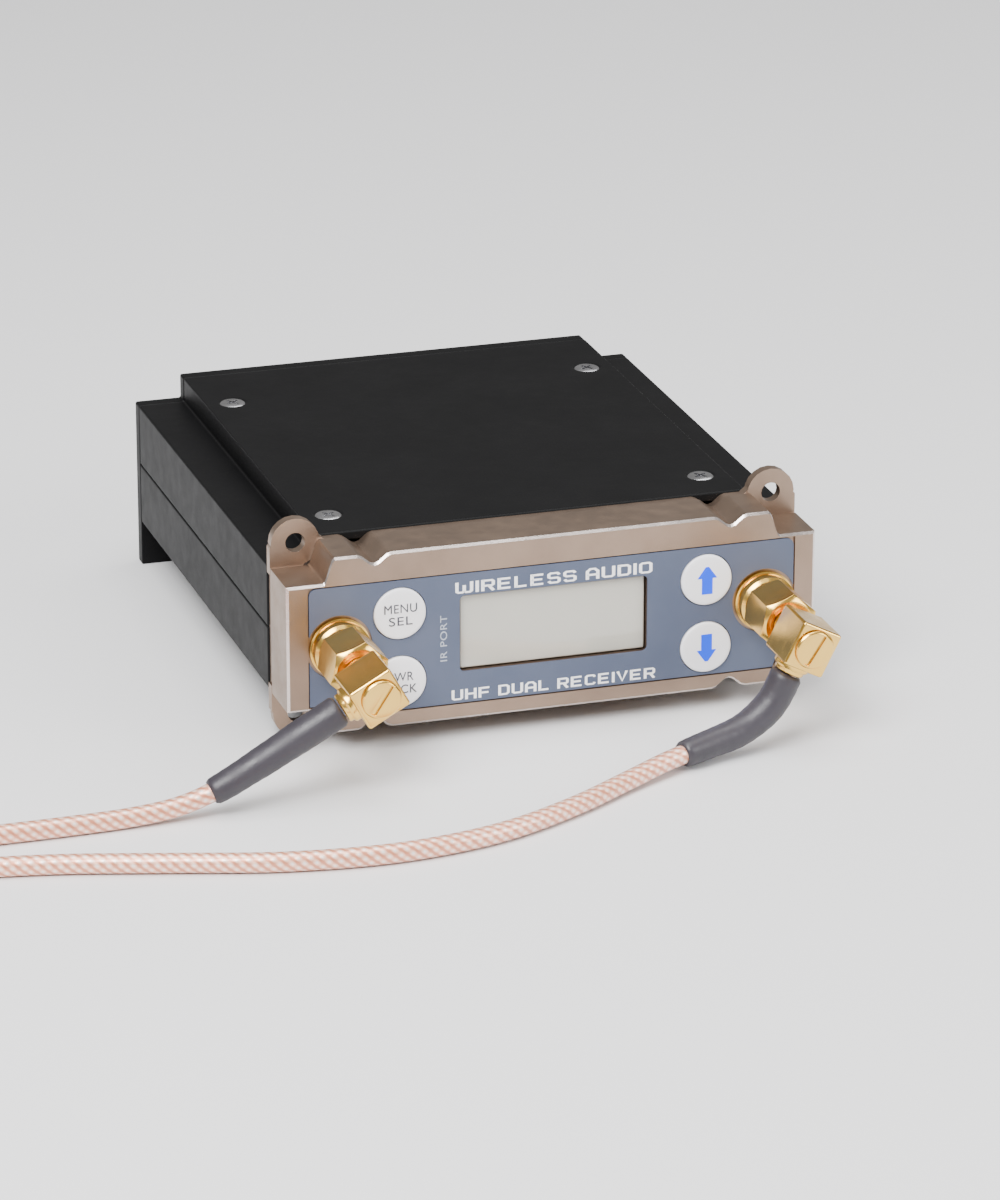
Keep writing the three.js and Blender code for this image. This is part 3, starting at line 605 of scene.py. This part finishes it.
def makeLabel():
    s = labelSet
    center = ((labelLow.x + labelHigh.x) / 2, (labelLow.z + labelHigh.z) / 2)
    half = ((labelHigh.x - labelLow.x) / 2, (labelHigh.z - labelLow.z) / 2)
    outline = []
    for i, (sx, sz) in enumerate(((1, 1), (-1, 1), (-1, -1), (1, -1))):
        for step in range(s["cornerSteps"] + 1):
            turn = math.radians(90 * i + 90 * step / s["cornerSteps"])
            outline.append((center[0] + sx * (half[0] - s["corner"]) + s["corner"] * math.cos(turn),
                            center[1] + sz * (half[1] - s["corner"]) + s["corner"] * math.sin(turn)))
    film = objectOf("label_film", slabFrom(outline, labelLow.y, labelHigh.y), finishes["label"])
    through = (labelLow.y - mm, labelHigh.y + mm)
    notches = []
    for side in (-1, 1):
        corner = [(side * (bezelHigh.x - x * mm), bezelLow.z + z * mm) for x, z in s["notch"]]
        notches.append(toolOf(slabFrom(corner, *through)))
    carve(film, notches)
    holes = [toolOf(barAlong(jackX[side], jackZ, s["hole"], *through)) for side in sides]
    holes += [toolOf(barAlong(*middleOf(key), s["keyHole"], *through)) for key in keyNames]
    low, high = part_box("lcd_glass")
    grow = 2 * s["windowGap"]
    window = boxAt((low + high) / 2, (high.x - low.x + grow, s["windowDepth"], high.z - low.z + grow))
    uprights = [e for e in window.edges if abs(e.verts[0].co.y - e.verts[1].co.y) > mm]
    bevelEdges(window, uprights, s["windowCorner"], s["windowSteps"])
    carve(film, holes + [toolOf(window)])
    onBody(film, "receiver", ["label_overlay"])
    for name, words, x, drop, width, height, color, turned in wordSet:
        curve = strokeText(words) if color == "white" else fontText(words)
        text = makeWords(name, curve, (x * mm, center[1] - drop * mm), width * mm, height * mm, labelLow.y,
                         s["inkDepth"], ink[color], turned)
        onBody(text, "receiver")
    print("label made")


keySet = {
    "radius": 3.95 * mm, "crown": 0.14 * mm, "edge": 0.22 * mm, "shoulder": (0.06 * mm, 0.09 * mm),
    "dish": [(0.5, 0.2), (0.85, 0.75)],  # shares of the radius and of the crown
    "collarBack": 2.7 * mm, "collarThickness": 0.8 * mm, "stem": 1.4 * mm, "steps": 72, "smooth": 50,
    "inkBack": 0.04 * mm, "inkDepth": 0.06 * mm,
}
# words, rise from the key's middle, width, height
keyWordSet = {
    "key_menu": [("MENU", 0.9, 5.0, 1.35), ("SEL", -1.05, 3.6, 1.35)],
    "key_back": [("PWR", 0.9, 3.8, 1.35), ("BACK", -1.05, 4.8, 1.35)],
}
arrowSet = {"height": 4.3 * mm, "head": 3.1 * mm, "shaft": 1.7 * mm, "headHeight": 1.8 * mm, "tip": 0.25 * mm,
            "depth": 0.05 * mm}


def makeKey(name):
    s = keySet
    low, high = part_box(name)
    x, z = middleOf(name)
    yFace, yCollar = low.y, yFront + s["collarBack"]
    radius, crown, edge = s["radius"], s["crown"], s["edge"]
    collar = (high.x - low.x) / 2
    yCollarEnd = yCollar + s["collarThickness"]
    inward, back = s["shoulder"]
    profile = [(0, yFace)] + [(radius * share, yFace + crown * rise) for share, rise in s["dish"]]
    profile += [(radius - edge, yFace + crown), (radius - inward, yFace + crown + back),
                (radius, yFace + crown + edge), (radius, yCollar), (collar, yCollar), (collar, yCollarEnd),
                (s["stem"], yCollarEnd), (s["stem"], high.y), (0, high.y)]
    key = objectOf(name + "_cap", lathe(profile, x, z, s["steps"]), finishes["white_key"], s["smooth"])
    onBody(key, name, [name])
    return x, z, yFace


def makeArrow(name, x, z, yBack, way):
    s = arrowSet
    half, head, shaft = s["height"] / 2, s["head"] / 2, s["shaft"] / 2
    neck = half - s["headHeight"]
    side = [(shaft, -half), (shaft, neck), (head, neck), (s["tip"], half)]
    outline = [(x + px, z + way * pz) for px, pz in side]
    outline += [(x - px, z + way * pz) for px, pz in reversed(side)]
    shape = slabFrom(outline, yBack - s["depth"], yBack)
    arrow = objectOf(name + "_arrow", shape, ink["blue"], typeSet["smooth"])
    onBody(arrow, name)


def makeKeys():
    s = keySet
    for name in keyNames:
        x, z, yFace = makeKey(name)
        yInk = yFace + s["inkBack"]
        if name in keyWordSet:
            for i, (words, rise, width, height) in enumerate(keyWordSet[name]):
                text = makeWords(f"{name}_words_{i + 1}", fontText(words), (x, z + rise * mm), width * mm,
                                 height * mm, yInk, s["inkDepth"], ink["grey"])
                onBody(text, name)
        else:
            makeArrow(name, x, z, yInk, 1 if name == "key_up" else -1)
    print("keys made")


displaySet = {"edge": 0.3 * mm, "segments": 3}


def makeDisplay():
    glass = rounded(cadCopy("lcd_glass", "display_glass"), displaySet["edge"], displaySet["segments"])
    onBody(glass, "receiver", ["lcd_glass"])
    print("display made")


# lengths in millimetres from here on, scaled where a shape is made
nutSet = {"flats": 8.0, "bore": 3.3, "lip": 1.4, "neckHole": 2.4, "neckFlare": 0.3, "mouthFlare": 0.5,
          "over": 0.05, "backFlat": 0.35, "backSlope": 0.75, "mouthFlat": 0.1, "mouthSlope": 0.6,
          "past": 1, "steps": 72, "boreSteps": 64, "edge": 0.09, "angle": 24, "turn": 12}


# a six-sided bar, turned down at its ends and bored from both
def hexNut(name, yBack, yMouth):
    s = nutSet
    way = 1 if yMouth > yBack else -1
    length = abs(yMouth - yBack)
    flat = s["flats"] / 2
    corner = flat / math.cos(math.radians(30))
    ends = (min(yBack, yMouth) * mm, max(yBack, yMouth) * mm)
    nut = objectOf(name, barAlong(0, 0, corner * mm, *ends, 6), finishes["gold"])

    def turned(profile, steps):
        return toolOf(lathe([(radius * mm, (yBack + way * y) * mm) for radius, y in profile], steps=steps))

    over = corner + s["over"]
    envelope = [(0, 0), (flat - s["backFlat"], 0), (over, s["backSlope"]), (over, length - s["mouthSlope"]),
                (flat - s["mouthFlat"], length), (0, length)]
    carve(nut, [turned(envelope, s["steps"])], "INTERSECT")
    back, mouth = s["neckHole"] + s["neckFlare"], s["bore"] + s["mouthFlare"]
    inside = [(0, -s["past"]), (back, -s["past"]), (back, 0), (s["neckHole"], s["neckFlare"]),
              (s["neckHole"], s["lip"]), (s["bore"], s["lip"]), (s["bore"], length - s["mouthFlare"]),
              (mouth, length), (mouth, length + s["past"]), (0, length + s["past"])]
    carve(nut, [turned(inside, s["boreSteps"])])
    return rounded(nut, s["edge"] * mm, angle=s["angle"])


plugSet = {
    "blockStart": 13.0, "blockLength": 8.5, "block": 6.6, "heel": 3.7, "blockEdge": 0.42, "blockEdgeSteps": 4,
    "collarLength": 1.6, "edge": 0.06, "angle": 50,
    # radius, distance ahead of the panel's face
    "barrel": [(0, 5.3), (1.6, 5.3), (1.8, 5.5), (1.8, 8.3), (3.0, 8.3), (3.0, 9.3), (2.2, 9.3), (2.2, 11.4),
               (2.75, 11.6), (2.75, 12.4), (2.3, 12.6), (2.3, 13.5), (0, 13.5)],
    "barrelSteps": 56,
    # radius, distance from the plug's axis towards the cable
    "crimp": [(0, 3.0), (2.7, 3.2), (2.7, 4.35), (2.5, 4.6), (2.25, 4.65), (2.25, 5.1), (2.1, 5.3), (0, 5.3)],
    "crimpSteps": 48,
}
capSet = {"radius": 2.9, "thickness": 0.6, "rim": 0.25, "gap": 0.05, "steps": 56, "edge": 0.05,
          "seatGap": 0.12, "seatDepth": 0.3, "slot": (0.78, 0.8, 5.0), "slotTurn": 33}


def rightAnglePlug(side, droop):
    s, c = plugSet, capSet
    front = yFront / mm
    gold = finishes["gold"]
    barrel = [(radius, front - ahead) for radius, ahead in s["barrel"]]
    yEnd = front - s["blockStart"] - s["blockLength"]
    yBlock = front - s["blockStart"] - s["blockLength"] / 2
    half = s["block"] / 2
    block = boxAt((0, yBlock * mm, (half - s["heel"]) / 2 * mm),
                  (s["block"] * mm, s["blockLength"] * mm, (half + s["heel"]) * mm))
    bevelEdges(block, block.edges, s["blockEdge"] * mm, s["blockEdgeSteps"])
    plug = objectOf("plug_" + side, block, gold)
    carve(plug, [toolOf(barAlong(0, 0, (c["radius"] + c["seatGap"]) * mm, (yEnd - 1) * mm,
                                 (yEnd + c["seatDepth"]) * mm, c["steps"]))])
    collar = objectOf("collar", lathe(scaled(s["crimp"]), steps=s["crimpSteps"]), gold)
    moved(collar, Matrix.Translation((0, yBlock * mm, 0)) @ Matrix.Rotation(math.radians(-90), 4, "X"))
    carve(plug, [objectOf("barrel", lathe(scaled(barrel), steps=s["barrelSteps"]), gold), collar], "UNION")
    plug.data.materials.clear()
    plug.data.materials.append(gold)
    turn = math.radians(90 - droop)
    place = Matrix.Translation((jackX[side], 0, jackZ)) @ Matrix.Rotation(turn, 4, "Y")
    moved(rounded(plug, s["edge"] * mm, angle=s["angle"]), place)
    onBody(plug, "receiver", ["plug_body_" + side])

    yCap = yEnd - c["gap"]
    yFace = yCap - c["thickness"]
    rim = [(0, yCap + c["rim"]), (c["radius"], yCap + c["rim"]), (c["radius"], yFace + c["rim"]),
           (c["radius"] - c["rim"], yFace), (0, yFace)]
    cap = objectOf("cap_" + side, lathe(scaled(rim), steps=c["steps"]), gold)
    carve(cap, [toolOf(boxAt((0, yFace * mm, 0), [size * mm for size in c["slot"]]))])
    moved(cap, place @ Matrix.Rotation(math.radians(c["slotTurn"]) - turn, 4, "Y"))
    onBody(rounded(cap, c["edge"] * mm), "receiver", ["plug_cap_" + side])
    return plug, cap


jackSet = {
    "bore": 2.1, "boreDepth": 4, "crest": 3.1, "root": 2.8, "entry": 0.3, "pitch": 0.7, "threadBack": 2,
    "thread": (0.12, 0.35, 0.58),  # where a turn's crest ends, its root lies and its next crest starts
    "collar": 4, "collarBack": 2.55, "collarThickness": 2, "steps": 56,
}
bulkheadSet = {"outer": 4.6, "inner": 3.3, "faceEdge": 0.7, "waist": 0.25, "faceSlope": 0.45, "flange": 0.65,
               "groove": (0.6, 0.8), "grooveStart": 0.95, "steps": 72}


def jackAndNut(side):
    s = jackSet
    low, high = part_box("sma_jack_" + side)
    top, x = low.y, jackX[side]
    bore, crest, root, pitch = (s[key] * mm for key in ("bore", "crest", "root", "pitch"))
    yBore = top + s["boreDepth"] * mm
    profile = [(0, yBore), (bore, yBore), (bore, top), (root, top), (crest, top + s["entry"] * mm)]
    y = top + s["entry"] * mm
    while y + pitch < yFront + s["threadBack"] * mm:
        profile += [(radius, y + along * mm) for radius, along in zip((crest, root, crest), s["thread"])]
        y += pitch
    yCollar = yFront + s["collarBack"] * mm
    yCollarEnd = yCollar + s["collarThickness"] * mm
    collar = s["collar"] * mm
    profile += [(crest, yCollar), (collar, yCollar), (collar, yCollarEnd), (bore, yCollarEnd),
                (bore, high.y), (0, high.y)]
    jack = objectOf("jack_" + side, lathe(profile, x, jackZ, s["steps"]), finishes["gold"])
    onBody(jack, "receiver", ["sma_jack_" + side])

    s = bulkheadSet
    nutLow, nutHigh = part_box("jack_nut_" + side)
    outer, inner = s["outer"] * mm, s["inner"] * mm
    waist = outer - s["waist"] * mm
    ring = [(inner, nutLow.y), (outer - s["faceEdge"] * mm, nutLow.y),
            (waist, nutLow.y + s["faceSlope"] * mm), (waist, nutHigh.y - s["grooveStart"] * mm),
            (outer - s["groove"][0] * mm, nutHigh.y - s["groove"][1] * mm),
            (outer, nutHigh.y - s["flange"] * mm), (outer, nutHigh.y), (inner, nutHigh.y), (inner, nutLow.y)]
    nut = objectOf("bulkhead_nut_" + side, lathe(ring, x, jackZ, s["steps"]), finishes["gold"])
    onBody(nut, "receiver", ["jack_nut_" + side])


coaxSet = {"radius": 1.45, "gap": 0.3, "seat": 0.05, "step": 1.3, "sides": 20, "coil": 15.0, "coilSteps": 40,
           "tailFrom": 0.3, "spanSteps": 12, "smooth": 60}
sleeveSet = {"length": 22.0, "radius": 2.42, "step": 0.5, "sides": 32, "taper": 0.42, "taperFrom": 0.25,
             "taperPower": 1.2, "ripple": 0.035, "rippleWaves": (2400, 1370), "startLip": (0.35, 0.03),
             "endLip": (0.3, 0.025)}
farSet = {
    "sleeveLength": 14.0, "clearRadius": 2.3, "nutStart": 20.5, "nutLength": 9.5, "steps": 48,
    # radius, distance from the far sleeve's start
    "sleeve": [(0, 0), (1.6, 0), (1.85, 0.25), (2.0, 3), (2.2, 8), (2.25, 11), (2.25, 13.6), (2.0, 14),
               (0, 14)],
    "body": [(0, 14.3), (2.5, 14.3), (2.7, 14.5), (2.7, 16.4), (3.0, 16.5), (3.2, 16.7), (3.2, 17.6),
             (2.95, 17.7), (2.95, 18.2), (3.2, 18.3), (3.2, 20.0), (3.0, 20.2), (2.2, 20.2)],
    # radius, distance past the nut's lip
    "nose": [(2.2, 0.3), (3.0, 0.3), (3.0, 1.3), (1.8, 1.3), (1.8, 2.1), (1.6, 2.3), (0, 2.3)],
}
leadSet = {
    "left": {
        "droop": 29,
        "route": [
            (-44.4, -61.3, 10.5), (-50.5, -61.3, 7.1), (-56.6, -61.4, 4.0), (-62, -61.6, 2.3),
            (-69, -61.9, 1.6), (-79, -62.2, 1.5), (-90, -62.2, 1.5), (-101, -62, 1.5),
        ],
        "coil": (-114, -47), "turns": 2.25, "way": -1, "farTilt": 5,
    },
    "right": {
        "droop": 63,
        "route": [
            (27.9, -61.4, 7.3), (23.4, -62.0, 4.1), (17.2, -63.6, 2.9), (10.5, -66.2, 2.3), (3, -70.2, 1.7),
            (-8, -77, 1.5), (-21, -83, 1.5), (-36, -85.5, 1.5), (-52, -84, 1.5), (-68, -79.5, 1.5),
            (-84, -75, 1.5), (-99, -72.6, 1.5), (-112, -72, 1.5),
        ],
        "coil": (-124, -87), "turns": 1.25, "way": 1, "farTilt": 0,
    },
}


# a curve through every point, with its knots spread by the square root of the distances
def smoothLine(points):
    steps = coaxSet["spanSteps"]
    ends = [2 * points[0] - points[1], *points, 2 * points[-1] - points[-2]]
    line = []
    for a, b, c, d in zip(ends, ends[1:], ends[2:], ends[3:]):
        t1 = (b - a).length ** 0.5
        t2 = t1 + (c - b).length ** 0.5
        t3 = t2 + (d - c).length ** 0.5
        for i in range(steps):
            t = t1 + (t2 - t1) * i / steps
            ab = a.lerp(b, t / t1)
            bc = b.lerp(c, (t - t1) / (t2 - t1))
            cd = c.lerp(d, (t - t2) / (t3 - t2))
            line.append(ab.lerp(bc, t / t2).lerp(bc.lerp(cd, (t - t1) / (t3 - t1)), (t - t1) / (t2 - t1)))
    return line + [points[-1]]


lastSpan = 0.3  # least share of a step for the last span of an even line


def evenLine(line, step):
    out, left = [line[0]], step
    for a, b in zip(line, line[1:]):
        span = (b - a).length
        while span >= left:
            a = a.lerp(b, left / span)
            span = (b - a).length
            out.append(a)
            left = step
        left -= span
    if (out[-1] - line[-1]).length > step * lastSpan:
        out.append(line[-1])
    return out


# U runs round the tube and V is metres along it
def tubeAlong(name, line, radii, material, segments):
    bm = bmesh.new()
    uv = bm.loops.layers.uv.new("UVMap")
    around = bm.verts.layers.int.new("around")
    along = bm.verts.layers.float.new("along")
    rings = []
    up = Vector((0, 0, 1))
    length = 0.0
    for i, point in enumerate(line):
        ahead = (line[min(i + 1, len(line) - 1)] - line[max(i - 1, 0)]).normalized()
        up = (up - ahead * up.dot(ahead)).normalized()
        place = Matrix.Translation(point) @ Matrix((ahead.cross(up), up, ahead)).transposed().to_4x4()
        ring = bmesh.ops.create_circle(bm, segments=segments, radius=radii(length), matrix=place)["verts"]
        for k, v in enumerate(ring):
            v[around] = k
            v[along] = length
        length += (line[min(i + 1, len(line) - 1)] - point).length
        rings.append(list({edge for v in ring for edge in v.link_edges}))
    for first, second in zip(rings, rings[1:]):
        bmesh.ops.bridge_loops(bm, edges=first + second)
    bmesh.ops.holes_fill(bm, edges=rings[0] + rings[-1], sides=segments)
    for face in bm.faces:
        turns = [v[around] for v in face.verts]
        wraps = len(turns) == 4 and max(turns) == segments - 1 and min(turns) == 0
        for corner in face.loops:
            turn = segments if wraps and corner.vert[around] == 0 else corner.vert[around]
            corner[uv].uv = (turn / segments, corner.vert[along])
    return objectOf(name, bm, material, coaxSet["smooth"])


# the lead's lay, its coil, the start of its tail, and where and which way the far end points
def leadLine(side):
    s, lead = coaxSet, leadSet[side]
    droop = math.radians(lead["droop"])
    yCable = yFront / mm - plugSet["blockStart"] - plugSet["blockLength"] / 2
    reach = plugSet["heel"] + plugSet["collarLength"] + s["gap"]
    start = Vector((jackX[side] / mm - reach * math.cos(droop), yCable, jackZ / mm - reach * math.sin(droop)))
    x, y = lead["coil"]
    way, turns = lead["way"], lead["turns"]
    floor = s["radius"] + s["seat"]
    entry = Vector((x, y + way * s["coil"], floor))
    lay = smoothLine([start] + [Vector(p) for p in lead["route"]] + [entry])
    coil = []
    steps = round(turns * s["coilSteps"])
    for i in range(1, steps + 1):
        turn = way * (math.pi / 2 + 2 * math.pi * turns * i / steps)
        coil.append(Vector((x + s["coil"] * math.cos(turn), y + s["coil"] * math.sin(turn),
                            floor + 2 * s["radius"] * turns * i / steps)))
    outer = s["coil"] + s["radius"]
    inner = s["coil"] - farSet["clearRadius"]
    run = math.sqrt(outer ** 2 - inner ** 2) + s["gap"]
    tilt = math.radians(lead["farTilt"])
    heading = Vector((0, -way * math.cos(tilt), -math.sin(tilt)))
    farStart = Vector((x - s["coil"], y - way * run, floor + 2 * s["radius"] * turns))
    farInside = farStart + heading * (farSet["sleeveLength"] - 1)
    tail = smoothLine([coil[-2], coil[-1], coil[-1].lerp(farStart, 0.5), farStart, farInside])
    tail = [p for p in tail if -way * (p.y - coil[-1].y) > s["tailFrom"]]
    return [p * mm for p in lay], [p * mm for p in coil + tail], farStart


# the shrunk sleeve tapers onto the cable, with a slight ripple and drawn-in lips
def sleeveRadius(along):
    s = sleeveSet
    share = along / (s["length"] * mm)
    taper = s["taper"] * max(0.0, (share - s["taperFrom"]) / (1 - s["taperFrom"])) ** s["taperPower"]
    firstWave, secondWave = s["rippleWaves"]
    ripple = s["ripple"] * math.sin(along * firstWave) * math.sin(along * secondWave + 1)
    (startDepth, startRun), (endDepth, endRun) = s["startLip"], s["endLip"]
    lip = -startDepth * max(0.0, 1 - share / startRun) ** 2
    lip -= endDepth * max(0.0, (share - (1 - endRun)) / endRun) ** 2
    return (s["radius"] - taper + ripple + lip) * mm


def makeLead(side):
    s, lead = coaxSet, leadSet[side]
    lay, rest, farStart = leadLine(side)
    whole = evenLine(lay + rest, s["step"] * mm)
    coax = tubeAlong("coax_" + side, whole, lambda along: s["radius"] * mm, finishes["coax"], s["sides"])
    onBody(coax, "receiver", ["coax_lead_" + side, "coax_coil_" + side])

    step = sleeveSet["step"]
    sleeveLine = [p for i, p in enumerate(evenLine(lay, step * mm)) if i * step <= sleeveSet["length"]]
    sleeve = tubeAlong("sleeve_" + side, sleeveLine, sleeveRadius, finishes["heat_shrink"],
                       sleeveSet["sides"])
    onBody(sleeve, "receiver", ["heat_shrink_" + side])

    far = farSet
    away = -lead["way"]
    place = (Matrix.Translation(farStart * mm)
             @ Matrix.Rotation(-away * math.radians(lead["farTilt"]), 4, "X"))

    def farPiece(name, profile, slot, node):
        shape = lathe([(radius * mm, away * y * mm) for radius, y in profile], steps=far["steps"])
        made = moved(objectOf(name, shape, finishes[slot]), place)
        onBody(made, "receiver", [node])
        return made

    farSleeve = farPiece("far_sleeve_" + side, far["sleeve"], "heat_shrink", "far_shrink_" + side)
    lip = far["nutStart"] + nutSet["lip"]
    body = far["body"] + [(radius, lip + past) for radius, past in far["nose"]]
    farPlug = farPiece("far_body_" + side, body, "gold", "far_plug_" + side)
    farNut = hexNut("far_hex_" + side, away * far["nutStart"], away * (far["nutStart"] + far["nutLength"]))
    onBody(moved(farNut, place), "far_nut_" + side, ["far_nut_" + side])

    nutLow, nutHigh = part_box("coupling_nut_" + side)
    nut = hexNut("coupling_hex_" + side, nutLow.y / mm, nutHigh.y / mm)
    moved(nut, Matrix.Translation((jackX[side], 0, jackZ))
          @ Matrix.Rotation(math.radians(nutSet["turn"]), 4, "Y"))
    onBody(nut, "coupling_nut_" + side, ["coupling_nut_" + side])
    print("lead made:", side, round(sum((b - a).length for a, b in zip(whole, whole[1:])), 4))


def makeLeads():
    for side in sides:
        jackAndNut(side)
        plug, cap = rightAnglePlug(side, leadSet[side]["droop"])
        makeLead(side)


screwSet = {"head": 2.0, "height": 1.1, "rim": (0.25, 0.18), "belly": (0.98, 0.5), "shank": 0.8, "steps": 40,
            "cross": (1.15, 0.23), "deep": 0.5, "turn": 33}


# the cover's screws are countersunk and the rear ones have a straight-sided head
def makeScrew(name, place, length, straight):
    s = screwSet
    inward, drop = s["rim"]
    belly = (s["head"], s["height"]) if straight else (s["head"] * s["belly"][0], s["height"] * s["belly"][1])
    profile = [(0, 0), (s["head"] - inward, 0), (s["head"], drop), belly, (s["shank"], s["height"]),
               (s["shank"], length), (0, length)]
    screw = objectOf(name + "_head", lathe(scaled(profile), steps=s["steps"]), finishes["steel"])
    reach, half = s["cross"]
    arm = [(half, half), (reach, half), (reach, -half)]
    cross = [(x * math.cos(t) - z * math.sin(t), x * math.sin(t) + z * math.cos(t))
             for t in (math.radians(s["turn"] - 90 * i) for i in range(4)) for x, z in arm]
    carve(screw, [toolOf(slabFrom(scaled(cross), -1 * mm, s["deep"] * mm))])
    moved(screw, place)
    onBody(screw, "receiver", [name])


def makeScrews():
    for name in ("cover_screw_1", "cover_screw_2", "cover_screw_3", "cover_screw_4"):
        low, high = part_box(name)
        middle = (low + high) / 2
        place = Matrix.Translation((middle.x, middle.y, high.z)) @ Matrix.Rotation(math.radians(-90), 4, "X")
        makeScrew(name, place, (high.z - low.z) / mm, False)
    for name in ("rear_screw_1", "rear_screw_2"):
        low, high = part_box(name)
        middle = (low + high) / 2
        place = Matrix.Translation((middle.x, high.y, middle.z)) @ Matrix.Rotation(math.radians(180), 4, "X")
        makeScrew(name, place, (high.y - low.y) / mm, True)
    print("screws made")


def finishCadNodes():
    slotOf = {part["node"]: part["material_slot"] for part in frame["record"]["subparts"]}
    for name, obj in frame["nodes"].items():
        obj.data.materials.clear()
        obj.data.materials.append(finishes[slotOf[name]])
    print("CAD nodes finished")


makeLeads()
makeCasing()
makeBezel()
makeFlange()
makeLabel()
makeDisplay()
makeKeys()
makeScrews()
finishCadNodes()
